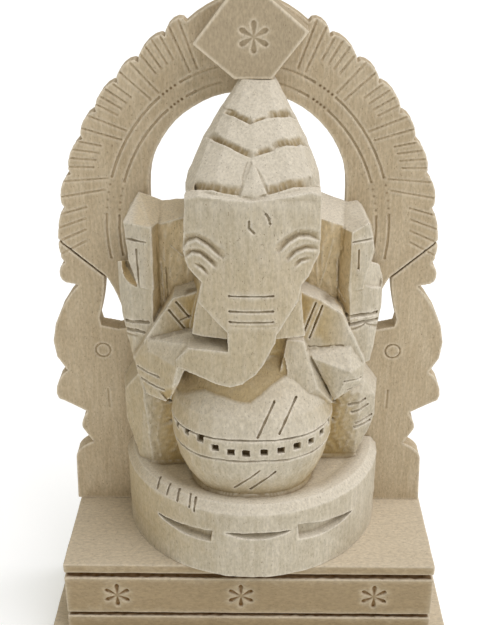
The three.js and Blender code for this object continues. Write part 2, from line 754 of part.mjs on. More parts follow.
// Two chevrons across the crown, and a band over each brow, all chopped in with a steep lower lip. Right of
// the ridge the chevrons widen.
const chevronDepth = 1.5;
const narrowSlope = 1.4;
const chevronSlope = 2.4;
const bandSlope = 3;
function crownCuts() {
  const inward = (point) => new THREE.Vector3(-point.x / 25, 0.62, -0.75).normalize();
  const lines = [
    [chevronSlope, [[-9.5, 21, 169], [-4.9, 25, 168.2], [-0.6, 27.3, 166.6], [0.3, 26.9, 167]]],
    [narrowSlope, [[-0.2, 27.1, 166.8], [5.4, 24.8, 168.5]]],
    [bandSlope, [[5, 25, 168.4], [9.5, 23.9, 168.3], [14.5, 19.2, 166.5], [16, 16.6, 165.8]]],
    [chevronSlope, [[-15.4, 24.6, 161.6], [-10.2, 31.6, 161.4], [-4.8, 34.9, 159.8], [0, 36.9, 158.4]]],
    [narrowSlope, [[-0.4, 36.9, 158.4], [2.6, 36, 159.2]]],
    [chevronSlope, [[2.2, 36.1, 159.1], [4.1, 35.5, 159.5], [7.6, 34.2, 160.3]]],
    [bandSlope, [[7.2, 34.2, 160.3], [8.3, 33.3, 161], [13.1, 31.5, 160.9], [18.5, 25.6, 158.9]]],
    [bandSlope, [[-21.6, 37, 145], [-19.9, 38, 146.4], [-17.2, 41.5, 149.1], [-14.2, 43.3, 149.7],
      [-10.6, 45.1, 149.6], [-2.4, 46.6, 148.8]]],
    [bandSlope, [[3.6, 46.2, 149.2], [5.9, 46, 149.2], [9.4, 44.9, 149.9], [13.7, 43.3, 150.7],
      [18.1, 40.5, 150], [22, 36.5, 148.3]]],
  ];
  return lines.flatMap(([slope, line]) =>
    scaleCut(line.map((corner) => at(...corner)), inward, [slope, chevronDepth]));
}

// Brow, eyelid and under-lid on each side lie over each other like scales. Two marks sit on the forehead,
// and three lines cross the trunk.
const trunkLineHeights = [115.3, 109.7, 105.8];
const browCut = [3, 1.5];
const eyelidCut = [2.2, 1.4];
const underLidCut = [1.6, 1.1];
const markSize = [0.8, 0.9];
function faceCuts() {
  const brows = [
    [[-22.2, 130.4], [-20.6, 132.8], [-17.8, 134.2], [-14, 132.2], [-9.2, 128.2]],
    [[8.7, 130.4], [12, 133.8], [15.2, 135.4], [18.6, 135], [22, 133]],
  ];
  const eyelids = [
    [[-21.6, 127], [-19.4, 129.2], [-16.6, 129.2], [-13.6, 126.8], [-11.6, 124.8]],
    [[11.6, 127.4], [14.4, 130], [17.6, 130.9], [21.6, 129.9]],
  ];
  const underLids = [
    [[-18.9, 125.4], [-16.4, 124.2], [-14.2, 122]],
    [[14, 124.8], [16.2, 126.8], [19.6, 127]],
  ];
  const marks = [
    [[-0.7, 141.8], [-0.7, 139.1], [1.2, 137.1]],
    [[4.4, 144.1], [5.6, 142.4], [6, 140]],
    ...trunkLineHeights.map((height) => [[-7.6, height], [7.6, height]]),
  ];
  const inward = (point) => new THREE.Vector3(-point.x, -point.y, 0).normalize();
  const layers = (lines, size) =>
    lines.flatMap((line) =>
      scaleCut(line.map(([x, height]) => at(x, Math.sqrt(faceRadius ** 2 - x * x), height)), inward, size));
  return [
    ...layers(brows, browCut),
    ...layers(eyelids, eyelidCut),
    ...layers(underLids, underLidCut),
    ...scores(drum(faceRadius, 90, 155), marks, markSize),
  ];
}

// Scored lines on the arms, hands and one knee, given as [x, height]: across each raised hand and between
// its fingers, bracelets on its wrist, the fingers of both front hands, folds on the upper arms, and rough
// strokes over the edge of the knee.
const fineScore = [0.8, 1];
const roughScore = [1.3, 1.1];
function limbScores() {
  const raised = [
    [[-44.6, 125], [-36.2, 124.8]],
    [[-40.3, 122], [-39.7, 106.9]],
    [[34.5, 125.2], [42.7, 125.4]],
    [[37.1, 122.3], [37.2, 114.6]],
  ];
  const bracelets = [
    [[-46, 92.5], [-40.9, 93.6], [-36.6, 94]],
    [[-46, 89.1], [-41.8, 90], [-38.4, 89.7]],
    [[33.4, 96.9], [38, 97], [45.4, 96.2]],
    [[34.4, 93.8], [39.6, 94], [45.6, 93.5]],
  ];
  const fingers = [
    [[-41.6, 77.8], [-32.5, 78]],
    [[-40.2, 74], [-30.6, 73.7]],
    [[32.9, 75.5], [39.6, 75.2]],
    [[34.4, 70.4], [39.2, 71.2]],
  ];
  const folds = [
    [[-29.2, 101.3], [-23.7, 93.8]],
    [[-26.6, 104.5], [-21.9, 98.2]],
    [[22.5, 104.5], [18.1, 91.7]],
    [[24.8, 103.4], [20.4, 90.1]],
  ];
  const knee = [
    [[36.2, 57.1], [39.8, 57.9], [43.2, 59.1]],
    [[37.6, 53.2], [41.2, 54.5], [44.5, 55.8]],
    [[39.4, 47.6], [43.2, 48.6], [46.5, 49.4]],
    [[39.1, 45.7], [42.6, 46], [46, 46.8]],
  ];
  const arms = join(raisedArms());
  return [
    ...scores(arms, raised, fineScore),
    ...scores(arms, bracelets, roughScore),
    ...scores(join(frontHands()), fingers, fineScore),
    ...scores(join(upperArms()), folds, fineScore, sleeveDepth + 1),
    ...scores(join(legs()), knee, roughScore),
  ];
}

// The slot under the tusk at the viewer's left runs deep between it and the curl of the trunk.
function tuskSlot() {
  return box(-19.2, -7.8, sleeveDepth, clear, 94.6, 98);
}

function figure() {
  const mass = join([
    seat(), belly(), ...torso(), ...raisedArms(), ...upperArms(), ...frontHands(), ...legs(), crown(),
    ...head(), trunk(),
  ]);
  const cuts = [
    ...seatPockets(), ...rimStrokes(), ...beltCuts(), ...bellyStrokes(), ...faceCuts(), ...limbScores(),
    ...thumbHollows(), tuskSlot(),
  ];
  return cutAll(cutAll(mass, crownCuts()).add(crownLeaf()), cuts);
}

function footBoard() {
  return box(-footWidth / 2, footWidth / 2, -footDepth / 2, footDepth / 2, 0, footHeight);
}

const carving = new THREE.Group();
carving.add(
  meshOf(footBoard(), "foot_board", baseWood),
  meshOf(baseBlock(), "base_block", baseWood, 0, boardFront, baseTop),
  meshOf(archBoard(), "arch_board", boardWood, archShift, boardFront, baseTop),
  meshOf(crestDiamond(), "crest_diamond", boardWood, 0, boardFront, baseTop),
  meshOf(figure(), "ganesha_figure", paleWood, figureShift, boardFront, baseTop),
);

export default carving;
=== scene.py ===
from math import cos, pi, radians, sin

import bpy
import numpy as np
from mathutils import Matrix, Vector


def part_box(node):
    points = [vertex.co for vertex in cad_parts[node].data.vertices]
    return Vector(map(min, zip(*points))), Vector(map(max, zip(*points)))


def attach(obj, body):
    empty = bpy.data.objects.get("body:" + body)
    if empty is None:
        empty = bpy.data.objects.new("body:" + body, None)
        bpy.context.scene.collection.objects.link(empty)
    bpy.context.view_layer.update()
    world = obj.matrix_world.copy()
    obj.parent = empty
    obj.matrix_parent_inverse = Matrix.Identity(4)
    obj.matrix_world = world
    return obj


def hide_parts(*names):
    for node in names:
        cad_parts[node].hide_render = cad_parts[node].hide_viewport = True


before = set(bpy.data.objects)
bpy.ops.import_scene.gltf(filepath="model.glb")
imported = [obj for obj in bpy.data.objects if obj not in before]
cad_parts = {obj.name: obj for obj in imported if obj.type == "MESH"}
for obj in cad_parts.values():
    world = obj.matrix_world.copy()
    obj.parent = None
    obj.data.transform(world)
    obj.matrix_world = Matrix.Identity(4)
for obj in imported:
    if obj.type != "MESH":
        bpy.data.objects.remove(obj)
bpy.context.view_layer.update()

# Lower board and base block: two pieces of plain planed wood, the block glued on the wider board. Two saw
# grooves run round the block, and flowers are punched into the band between them with one small gouge. The
# copies have softly worn corners and the marks of the saw in the grooves.

MM = 0.001


def pick_only(piece):
    """Makes one object the active and the only selected one."""
    bpy.ops.object.select_all(action="DESELECT")
    piece.select_set(True)
    bpy.context.view_layer.objects.active = piece


def apply_modifier(piece, kind, **settings):
    pick_only(piece)
    modifier = piece.modifiers.new(kind.lower(), kind)
    for name, value in settings.items():
        setattr(modifier, name, value)
    bpy.ops.object.modifier_apply(modifier=modifier.name)


def worn_copy(node, grain_mm, rubs):
    """A copy of a solid with an even skin of small faces, rubbed soft along its edges."""
    piece = bpy.data.objects.new(node + "_carved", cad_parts[node].data.copy())
    bpy.context.scene.collection.objects.link(piece)
    piece.data.materials.clear()
    pick_only(piece)
    bpy.ops.object.mode_set(mode="EDIT")
    bpy.ops.mesh.select_all(action="SELECT")
    bpy.ops.mesh.remove_doubles(threshold=0.01 * MM)
    bpy.ops.object.mode_set(mode="OBJECT")
    coarser = 1.0
    apply_modifier(piece, "REMESH", mode="VOXEL", voxel_size=grain_mm * coarser * MM, use_smooth_shade=True)
    if rubs:
        apply_modifier(piece, "SMOOTH", factor=0.5, iterations=rubs)
    return piece


def points_of(piece):
    """The corners of a mesh as an array, in millimetres of the part's frame."""
    flat = np.empty(len(piece.data.vertices) * 3, np.float32)
    piece.data.vertices.foreach_get("co", flat)
    return flat.reshape(-1, 3) / MM


def normals_of(piece):
    flat = np.empty(len(piece.data.vertices) * 3, np.float32)
    piece.data.vertex_normals.foreach_get("vector", flat)
    return flat.reshape(-1, 3)


def move_out(piece, points, distance_mm):
    """Moves each corner along its normal, outwards for a positive distance."""
    moved = (points + normals_of(piece) * distance_mm[:, None]) * MM
    piece.data.vertices.foreach_set("co", moved.astype(np.float32).ravel())
    piece.data.update()


def undulation(points, size_mm, seed):
    """Smooth noise between about -1 and 1, made of a few crossed waves of that size."""
    chance = np.random.default_rng(seed)
    total = np.zeros(len(points))
    waves = 7
    for _ in range(waves):
        direction = chance.normal(size=3)
        direction *= 2 * pi / (size_mm * chance.uniform(0.7, 1.5) * np.linalg.norm(direction))
        total += np.sin(points @ direction + chance.uniform(0, 2 * pi))
    return total / waves ** 0.5 / 1.2


def around(piece, points, spread):
    """The mean place of the corners round each corner, taken that many edges wide."""
    edges = np.empty(len(piece.data.edges) * 2, np.int32)
    piece.data.edges.foreach_get("vertices", edges)
    a, b = edges.reshape(-1, 2).T
    count = len(points)
    degree = np.bincount(a, minlength=count) + np.bincount(b, minlength=count)
    mean = points.astype(np.float64)
    for _ in range(spread):
        total = np.stack([
            np.bincount(a, mean[b, k], count) + np.bincount(b, mean[a, k], count) for k in range(3)
        ], axis=1)
        mean = total / np.maximum(degree, 1)[:, None]
    return mean


def hollows(piece, points, spread):
    """How far each corner lies below the mean of its neighbours: more than 0 in a crease."""
    return ((around(piece, points, spread) - points) * normals_of(piece)).sum(axis=1)


def crispen(piece, points, gain, spread):
    """Cuts the creases deeper and lifts the edges, which the even skin has rounded."""
    move_out(piece, points, -gain * np.clip(hollows(piece, points, spread), -0.2, 0.4))
    return points_of(piece)


# A punched flower has six petals, and they end this far from its centre.
PETALS = 6
PETAL_END = 5.4


def punched_flower(points, dark, x, z, front):
    """Six teardrop dents round a centre, each deepest and widest near its outer end."""
    radius = np.hypot(points[:, 0] - x, points[:, 2] - z)
    near = np.flatnonzero((radius < PETAL_END) & (points[:, 1] < front + 3))
    across, up = points[near, 0] - x, points[near, 2] - z
    radius = radius[near]
    between = pi / PETALS
    turn = (np.arctan2(up, across) - pi / 2 + between) % (2 * between) - between
    outer = np.sqrt(np.clip((PETAL_END - radius) / 1.3, 0, 1))
    half_width = 0.1 + 1.05 * radius / PETAL_END * outer
    aside = radius * np.abs(np.sin(turn))
    inside = np.clip((half_width - aside) / 0.4 + 0.4, 0, 1) * np.clip(outer * 2, 0, 1)
    points[near, 1] = np.maximum(points[near, 1], front + inside * (0.3 + 0.6 * radius / PETAL_END))
    # The petals are painted darker toward their deeper outer ends, as shade.
    dark[near] = np.maximum(dark[near], inside * (0.25 + 0.3 * radius / PETAL_END))


def store(piece, name, values):
    layer = piece.data.attributes.new(name, "FLOAT", "POINT")
    layer.data.foreach_set("value", np.clip(values, 0, 1).astype(np.float32))


def thin_out(piece, most_faces):
    """Takes faces away where the surface is flat, and shades the rest smooth up to the sharp corners."""
    piece.data.calc_loop_triangles()
    have = len(piece.data.loop_triangles)
    if have > most_faces:
        apply_modifier(piece, "DECIMATE", ratio=most_faces / have)
    pick_only(piece)
    bpy.ops.object.shade_smooth_by_angle(angle=radians(50))


def linear(hex_colour):
    """An sRGB hex colour as linear red, green, blue and alpha."""
    parts = [int(hex_colour[i:i + 2], 16) / 255 for i in (1, 3, 5)]
    return [c / 12.92 if c <= 0.04045 else ((c + 0.055) / 1.055) ** 2.4 for c in parts] + [1]


def add(material, kind, links=None, **settings):
    """Adds a node with its settings. A link is another node's output, and anything else is a plain value."""
    tree = material.node_tree
    node = tree.nodes.new(kind)
    for name, value in settings.items():
        setattr(node, name, value)
    for name, value in (links or {}).items():
        if isinstance(value, bpy.types.NodeSocket):
            tree.links.new(value, node.inputs[name])
        else:
            node.inputs[name].default_value = value
    return node


def ramp(material, factor, stops):
    """A colour ramp from a list of (place, hex colour)."""
    node = add(material, "ShaderNodeValToRGB", {"Fac": factor})
    elements = node.color_ramp.elements
    while len(elements) < len(stops):
        elements.new(0.5)
    for element, (place, colour) in zip(elements, stops):
        element.position = place
        element.color = linear(colour)
    return node.outputs["Color"]


def grain(material, across_mm, along_mm, fibre_axis, detail, seed):
    """Noise stretched along the wood's fibres."""
    place = add(material, "ShaderNodeTexCoord").outputs["Object"]
    per_axis = [1 / (across_mm * MM)] * 3
    per_axis[fibre_axis] = 1 / (along_mm * MM)
    stretched = add(material, "ShaderNodeMapping", {
        "Vector": place, "Location": (seed, seed, seed), "Scale": per_axis,
    })
    noise = add(material, "ShaderNodeTexNoise", {
        "Vector": stretched.outputs["Vector"], "Scale": 1.0, "Detail": detail, "Roughness": 0.6,
    })
    return noise.outputs["Fac"]


def blend(material, factor, first, second, mode="MIX"):
    node = add(material, "ShaderNodeMix", data_type="RGBA", blend_type=mode)
    tree = material.node_tree
    for socket, value in ((node.inputs[0], factor), (node.inputs[6], first), (node.inputs[7], second)):
        if isinstance(value, bpy.types.NodeSocket):
            tree.links.new(value, socket)
        elif isinstance(value, str):
            socket.default_value = linear(value)
        else:
            socket.default_value = value
    return node.outputs[2]


# The tints of the painted shade on chisel-cut slopes, of the painted light laid on places in shade, and of an
# open pore.
SLOPE_SHADE_HEX = "#A3906B"
FILL_LIGHT_HEX = "#DCC9A2"
PORE_HEX = "#6B563A"


def raw_wood(name, tones, fibre_axis, streak_mm, deep_hex, crease_hex, edge_hex, pores=0.5):
    """Bare whitewood with no varnish: matt, with fine fibres, soft streaks and short dark pores. Painted
    light and shade are laid over it from the mesh's attributes.
    """
    material = bpy.data.materials.new(name)
    material.use_nodes = True
    material.node_tree.nodes.clear()
    streaks = grain(material, streak_mm, 14 * streak_mm, fibre_axis, 3.0, 3.1)
    broad = grain(material, 9 * streak_mm, 30 * streak_mm, fibre_axis, 2.0, 7.7)
    mixed = add(material, "ShaderNodeMath", {0: streaks, 1: broad}, operation="ADD")
    tone = add(material, "ShaderNodeMath", {0: mixed.outputs[0], 1: 0.5}, operation="MULTIPLY")
    colour = ramp(material, tone.outputs[0], [(0.36, tones[0]), (0.5, tones[1]), (0.62, tones[2])])
    # Tints from attributes: a darker tint (painted shade on the base and figure), painted light on tops,
    # painted shade on cut slopes, painted fill light in shaded places, painted highlights on edges and
    # painted shade in creases.
    tints = [("deep", deep_hex), ("upturned", edge_hex), ("chopped", SLOPE_SHADE_HEX), ("fill_light", FILL_LIGHT_HEX),
             ("edge", edge_hex), ("crease", crease_hex)]
    for attribute, tint in tints:
        share = add(material, "ShaderNodeAttribute", attribute_name=attribute).outputs["Fac"]
        colour = blend(material, share, colour, tint)
    specks = grain(material, 0.42, 0.8, fibre_axis, 1.0, 11.3)
    speck_map = add(material, "ShaderNodeMapRange", {"Value": specks, "From Min": 0.68, "From Max": 0.74})
    speck = add(material, "ShaderNodeMath", {0: speck_map.outputs["Result"], 1: pores}, operation="MULTIPLY")
    colour = blend(material, speck.outputs[0], colour, PORE_HEX)
    fuzz = grain(material, 0.8, 1.6, fibre_axis, 3.0, 5.3)
    fuzz_map = add(material, "ShaderNodeMapRange", {
        "Value": fuzz, "From Min": 0.3, "From Max": 0.7, "To Min": 0.86, "To Max": 1.14,
    })
    colour = blend(material, 1.0, colour, fuzz_map.outputs["Result"], "MULTIPLY")
    fibres = grain(material, 0.45, 7, fibre_axis, 4.0, 1.9)
    rough = add(material, "ShaderNodeMath", {0: fibres, 1: fuzz}, operation="ADD")
    relief = add(material, "ShaderNodeMath", {0: rough.outputs[0], 1: speck.outputs[0]}, operation="SUBTRACT")
    bump = add(material, "ShaderNodeBump", {
        "Height": relief.outputs[0], "Strength": 0.6, "Distance": 0.2 * MM,
    })
    shader = add(material, "ShaderNodeBsdfPrincipled", {
        "Base Color": colour, "Roughness": 0.82, "Specular IOR Level": 0.25, "Normal": bump.outputs["Normal"],
    })
    add(material, "ShaderNodeOutputMaterial", {"Surface": shader.outputs["BSDF"]})
    return material


# The axes that fibres can run along.
X, Z = 0, 2

# Planed softwood, bare: a warm matt tan with long fibres from side to side, and brown in the torn saw cuts,
# painted there as shade and some dirt.
planed_wood = raw_wood("planed whitewood", ["#B2A387", "#BBAD93", "#C4B8A0"], X, 1.6, "#9E8C6D", "#6E5029",
                       "#D2C6AF")

FLOWERS_X = (-51, -3, 48.5)
FLOWERS_Z = 27.2

# The size of the faces of the copies' skin in millimetres, and the most triangles that each copy keeps.
BASE_GRAIN = 0.38
BASE_FACES = 90000

for node in ("foot_board", "base_block"):
    piece = worn_copy(node, BASE_GRAIN, 1)
    points = points_of(piece)
    low, high = (np.array(corner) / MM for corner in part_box(node))
    inset = np.minimum(points - low, high - points)[:, :2].min(axis=1)
    between_faces = (points[:, 2] < high[2] - 1) * (points[:, 2] > low[2] + 1)
    in_groove = np.clip((inset - 0.5) / 0.5, 0, 1) * between_faces
    # The inside of the saw grooves is painted dark brown, as shade and some dirt.
    dark = 0.9 * in_groove
    move_out(piece, points, 0.06 * undulation(points, 14, 2) + 0.25 * in_groove * undulation(points, 2.5, 3))
    points = points_of(piece)
    if node == "base_block":
        for flower_x in FLOWERS_X:
            punched_flower(points, dark, flower_x, FLOWERS_Z, low[1])
        move_out(piece, points, np.zeros(len(points)))
    facing = normals_of(piece)
    # Front faces are painted darker as shade and tops lighter as painted light; creases are painted dark as
    # shade and edges light as painted highlights.
    store(piece, "deep", np.clip(-facing[:, 1], 0, 1))
    store(piece, "upturned", 0.75 * facing[:, 2])
    relief = hollows(piece, points, 10)
    store(piece, "crease", np.maximum(relief / 0.3, dark))
    store(piece, "edge", -relief / 0.3 * 0.6)
    thin_out(piece, BASE_FACES)
    piece.data.materials.append(planed_wood)
    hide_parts(node)
    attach(piece, "root")

# Arch board and crest diamond: thin board, sawn to a lobed outline and left as sanded. Rays, arcs and rows of
# dots are pressed into its face. The diamond is a thicker offcut glued on in front, with a punched flower.

# Thin sawn board, bare: an even, dull tan with fine upright fibres, so only the pressed lines catch light.
# They also get painted shade in their hollows and painted highlights on their lips.
sawn_board = raw_wood("sawn whitewood board", ["#B5A487", "#BDAD91", "#C5B69B"], Z, 1.1, "#AFA086", "#6B5433",
                      "#D6CAB3")

# The two arcs are parts of ellipses round one middle, each with a half width and a rise.
ARCH_X = -0.8
ARC_MIDDLE = 162
DOT_ARCS = ((52, 61), (47.3, 55.5))
# Rows of dots on the arcs: first and last angle in degrees from the top, and how dark the dots are painted,
# as shade.
DOT_ROWS = ((29, 34.5, 1.5), (73.5, 82, 0.6))
DOTS_IN_ROW = 4
DOT_RADIUS = 0.65
DOT_DEPTH = 0.35
# Between these angles the arcs run on towards the crown.
ARC_ENDS = (10, 24)
ARC_DEPTH = 0.5
BOARD_FRONT = 22
CREST_FLOWER = (1.4, 233.9)
BOARD_GRAIN = 0.33
BOARD_FACES = {"arch_board": 150000, "crest_diamond": 30000}

for node in ("arch_board", "crest_diamond"):
    piece = worn_copy(node, BOARD_GRAIN, 1)
    points = points_of(piece)
    points = crispen(piece, points, 0.8, 8)
    move_out(piece, points, 0.05 * undulation(points, 12, 5))
    points = points_of(piece)
    dark = np.zeros(len(points))
    if node == "arch_board":
        for side in (-1, 1):
            for half_width, rise in DOT_ARCS:
                for first, last, dot_shade in DOT_ROWS:
                    for step in range(DOTS_IN_ROW):
                        turn = radians(side * (first + (last - first) * step / (DOTS_IN_ROW - 1)))
                        x, z = ARCH_X + half_width * sin(turn), ARC_MIDDLE + rise * cos(turn)
                        away = np.hypot(points[:, 0] - x, points[:, 2] - z)
                        share = np.clip(1 - away / DOT_RADIUS, 0, 1) * (points[:, 1] < BOARD_FRONT + 2)
                        points[:, 1] += DOT_DEPTH * share
                        dark = np.maximum(dark, np.clip(share * dot_shade, 0, 1))
        for half_width, rise in DOT_ARCS:
            across, up = (points[:, 0] - ARCH_X) / half_width, (points[:, 2] - ARC_MIDDLE) / rise
            turn = np.abs(np.degrees(np.arctan2(across, up)))
            off_line = np.abs(np.hypot(across, up) - 1) * rise
            on_arc = np.clip((turn - ARC_ENDS[0]) / 2, 0, 1) * np.clip(ARC_ENDS[1] - turn, 0, 1)
            share = np.clip(1 - off_line / 0.55, 0, 1) * on_arc * (points[:, 1] < BOARD_FRONT + 0.5)
            points[:, 1] += ARC_DEPTH * share
    else:
        punched_flower(points, dark, *CREST_FLOWER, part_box(node)[0][1] / MM)
        dark *= 0.2
    move_out(piece, points, np.zeros(len(points)))
    store(piece, "deep", np.full(len(points), 1.0 if node == "crest_diamond" else 0.0))
    # The crest diamond is darker all over. Grooves, dots and the crest's flower are painted dark as shade,
    # and the lips of the grooves lighter as painted highlights.
    relief = hollows(piece, points, 8)
    store(piece, "crease", np.maximum(relief / 2.2, dark))
    store(piece, "edge", -relief / 0.2 * 0.8)
    thin_out(piece, BOARD_FACES[node])
    piece.data.materials.append(sawn_board)
    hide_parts(node)
    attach(piece, "root")

# Figure: one half-round block of pale wood, cut with knives and gouges and left bare. The faces on the round
# outside of the block are pale and grey, and deeper in a warm yellow shade is painted on.

# The same kind of wood cut across and along the fibres: paler and greyer outside, with small dark pores. Warm
# yellow shade is painted in deep cuts, pale light in shaded hollows, brown shade in the knife cuts and
# highlights on edges.
knife_cut_wood = raw_wood("knife-cut whitewood", ["#B3A993", "#BDB49F", "#C7BEAB"], Z, 1.3, "#B09A6C",
                          "#75603C", "#DED7C7", 0.6)

BASE_TOP = 42
FIGURE_X = 1
INTO_WOOD = (0, 1, 0)


def spot(x, depth, height):
    """A place on the figure: x from its middle, depth in front of the board, and height over the base."""
    return (x + FIGURE_X, BOARD_FRONT - depth, height + BASE_TOP)


def within(value, first, last, fade=2.0):
    """1 between two limits and 0 outside them, with a soft change at each."""
    return np.clip((value - first) / fade, 0, 1) * np.clip((last - value) / fade, 0, 1)


FIGURE_GRAIN = 0.29
FIGURE_FACES = 190000
figure = worn_copy("ganesha_figure", FIGURE_GRAIN, 1)

# The solid's belt lines run on into the legs, and two crown bands end in a pit. The copy is filled there.
BELT_TOP = 58.4
BELT_FOOT = 49.6
PITS = (spot(14.8, 28.5, 162), spot(-17.7, 38.4, 149.8))

points = points_of(figure)
x, depth, height = points[:, 0] - FIGURE_X, BOARD_FRONT - points[:, 1], points[:, 2] - BASE_TOP
belt_lines = within(height, BELT_TOP - 1.2, BELT_TOP + 1.4, 0.4)
belt_lines = belt_lines + within(height, BELT_FOOT - 1.4, BELT_FOOT + 1.4, 0.4)
mended = belt_lines * within(np.abs(x), 30.4, 36, 0.4) * within(depth, 12, 24)
for pit in PITS:
    mended = np.maximum(mended, np.clip(2.2 - np.linalg.norm(points - pit, axis=1) / 1.5, 0, 1))
for _ in range(4):
    points = points + mended[:, None] * (around(figure, points, 14) - points)
move_out(figure, points, np.zeros(len(points)))
points = points_of(figure)

points = crispen(figure, points, 0.7, 4)
low, high = (np.array(corner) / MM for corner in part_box("ganesha_figure"))
middle_x = (low[0] + high[0]) / 2
back_y = high[1]
blank_radius = back_y - low[1]


def below_round(points):
    """How far a corner lies below the round outside of the block, in millimetres."""
    return blank_radius - np.hypot(points[:, 0] - middle_x, back_y - points[:, 1])


def follow(points, line, ahead, reach):
    """Finds the corners round a line: which they are, and how far from it, above it and along it they lie."""
    line = np.array(line, float)
    ahead = np.array(ahead, float) / np.linalg.norm(ahead)
    past_low = points > line.min(axis=0) - reach
    before_high = points < line.max(axis=0) + reach
    near = np.flatnonzero((past_low & before_high).all(axis=1))
    rest = points[near]
    distance = np.full(len(near), np.inf)
    above, walked = np.zeros(len(near)), np.zeros(len(near))
    before = 0
    for start, end in zip(line, line[1:]):
        span = end - start
        flat = span - ahead * (span @ ahead)
        length = np.linalg.norm(flat)
        away = rest - start
        share = np.clip((away - np.outer(away @ ahead, ahead)) @ flat / length ** 2, 0, 1)
        gap = away - share[:, None] * span
        level = gap @ ahead
        across = gap - level[:, None] * ahead
        apart = np.where(np.abs(level) < reach, np.linalg.norm(across, axis=1), np.inf)
        closer = apart < distance
        distance[closer] = apart[closer]
        above[closer] = (across @ np.cross(flat / length, ahead))[closer]
        walked[closer] = (before + share * length)[closer]
        before += length
    kept = distance < reach
    return near[kept], distance[kept], above[kept], walked[kept]


def ripple(walked, seed):
    """An uneven wave along a line, between about -1 and 1."""
    long_wave = np.sin(walked * 0.9 + seed) * 0.5
    middle_wave = np.sin(walked * 2.1 + 2 * seed) * 0.3
    short_wave = np.sin(walked * 4.7 + seed) * 0.15
    return long_wave + middle_wave + short_wave


def score(points, dark, line, width, depth, ahead=INTO_WOOD, rough=0.15, seed=0):
    """Cuts a V along a line, or raises a ridge where depth is less than 0. A cut is painted dark at its
    bottom, as shade.
    """
    near, distance, above, walked = follow(points, line, ahead, max(width, 2.5))
    wave = ripple(walked, seed) * rough
    beyond_end = np.sqrt(np.maximum(distance ** 2 - above ** 2, 0))
    distance = np.hypot(above + 0.5 * wave * width, beyond_end)
    share = np.clip(1 - distance / (width / 2 * (1 + wave)), 0, 1)
    points[near] += np.outer(share * depth, np.array(ahead) / np.linalg.norm(ahead))
    if depth > 0:
        dark[near] = np.maximum(dark[near], share * min(0.8, depth / 0.8))


def teeth(walked, pitch, seed):
    """0 on the ridges between chisel bites of uneven width, and 1 in the middle of each bite."""
    chance = np.random.default_rng(seed)
    ends = np.cumsum(pitch * chance.uniform(0.5, 1.6, 60))
    bite = np.searchsorted(ends, walked)
    start = np.concatenate([[0], ends])[bite]
    place = (walked - start) / (ends[bite] - start)
    return 4 * place * (1 - place)


def flutes(points, share, pitch, depth, seed):
    """Shallow gouge furrows that run up and down a surface, as far as the share at each corner is over 0."""
    chosen = np.flatnonzero(share > 0)
    drift = undulation(points[chosen] * (1, 1, 0.35), 8, seed)
    furrow = np.abs(np.sin(pi * (points[chosen, 0] / pitch + 0.55 * drift)))
    roughness = 0.15 * undulation(points[chosen], 3, seed)
    points[chosen, 1] += share[chosen] * (depth * (furrow - 0.6) + roughness)


facing = normals_of(figure)
x, depth, height = points[:, 0] - FIGURE_X, BOARD_FRONT - points[:, 1], points[:, 2] - BASE_TOP
in_front = facing[:, 1] < -0.5
ears = in_front * within(height, 95, 131) * within(depth, 8, 21, 1) * within(np.abs(x), 20, 34, 1)
legs = in_front * within(height, 32, 66) * within(depth, 9, 23) * within(np.abs(x), 23, 42)
open_left = below_round(points)
flutes(points, ears, 4.8, 0.35, 1)
flutes(points, legs, 4.2, 0.25, 4)

# Bands cut into the crown, as the width of the slope and the lip under it. Each slope gets painted shade and
# each lip a painted highlight.
INTO_CROWN = (0, 0.64, -0.77)
crown_bands = [
    (2.4, [(-9.5, 21, 169), (-4.9, 25, 168.2), (-0.6, 27.3, 166.6)]),
    (1.4, [(0, 27.1, 166.8), (5.4, 24.8, 168.5)]),
    (3, [(5.2, 25, 168.4), (9.5, 23.9, 168.3), (14.5, 19.2, 166.5)]),
    (2.4, [(-14.8, 26, 161.6), (-10.2, 31.6, 161.4), (-4.8, 34.9, 159.8), (-0.3, 36.9, 158.4)]),
    (1.9, [(0.6, 36.7, 158.6), (4.1, 35.5, 159.5), (7.4, 34.2, 160.3)]),
    (3, [(7.6, 34, 160.5), (13.1, 31.5, 160.9), (18.3, 25.8, 159)]),
    (2.8, [(-19.9, 38, 146.4), (-17.2, 41.5, 149.1), (-14.2, 43.3, 149.7), (-10.6, 45.1, 149.6),
           (-3.2, 46.6, 149)]),
    (3, [(4.6, 46.2, 149.2), (9.4, 44.9, 149.9), (13.7, 43.3, 150.7), (18.4, 40.4, 149.9)]),
]


